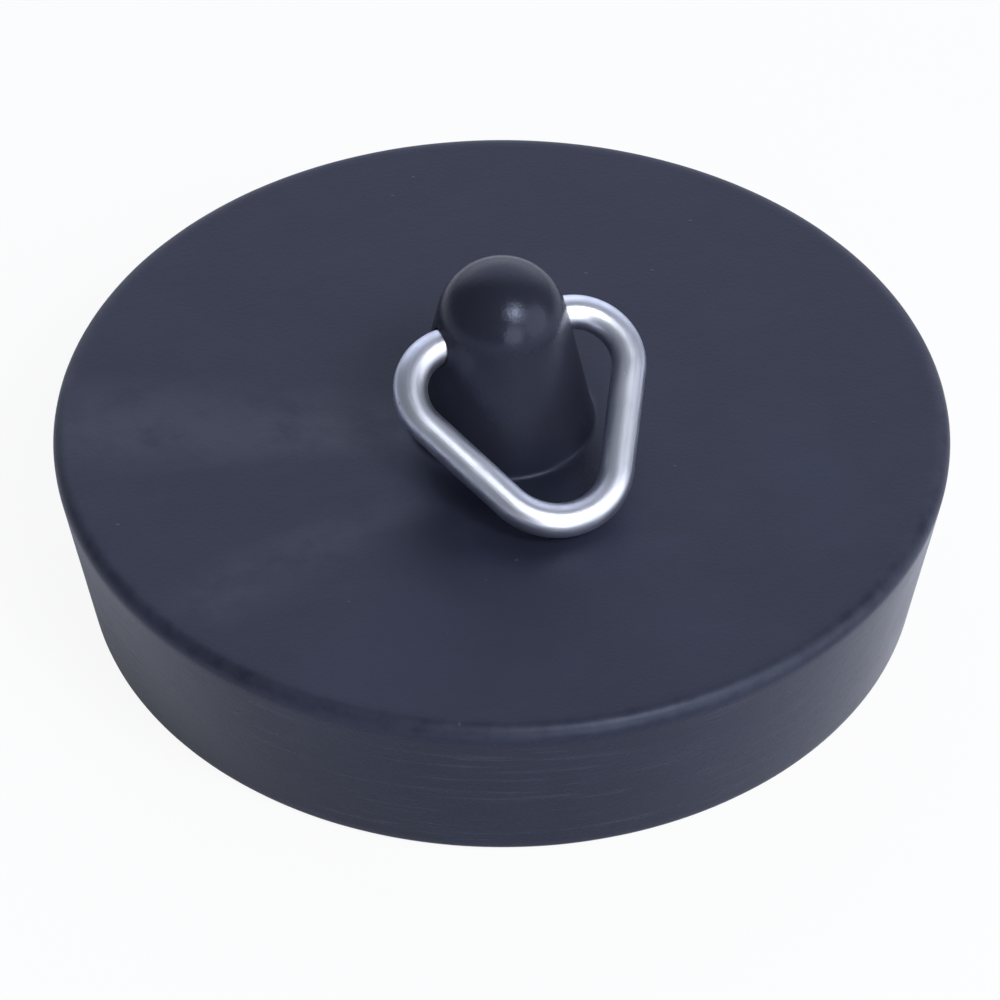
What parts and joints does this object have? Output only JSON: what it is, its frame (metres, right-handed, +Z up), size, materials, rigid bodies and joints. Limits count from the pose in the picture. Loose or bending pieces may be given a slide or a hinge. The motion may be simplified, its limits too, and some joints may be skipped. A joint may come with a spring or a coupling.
{
  "type": "drain stopper",
  "caption": "Tapered round rubber drain stopper with a domed post and a swinging wire triangle for lifting it out or tying on a chain.",
  "frame": {"origin": "middle of the underside, on the plug's axis", "axes": "+Z up along the plug's axis towards the post; the wire triangle pivots along X and lies down towards -Y"},
  "size_m": [0.048, 0.048, 0.0205],
  "materials": {
    "rubber": "matt moulded rubber, dark blue-grey, lightly bloomed",
    "plated_wire": "bright plated drawn steel wire"
  },
  "bodies": {
    "plug": {"plug_body": "rubber"},
    "triangle": {"wire_triangle": "plated_wire"}
  },
  "joints": [
    {"name": "triangle_swing", "type": "hinge", "parent": "plug", "child": "triangle", "pos_m": [0, 0, 0.0164], "axis": [-1, 0, 0], "range_deg": [0, 235.3]}
  ]
}
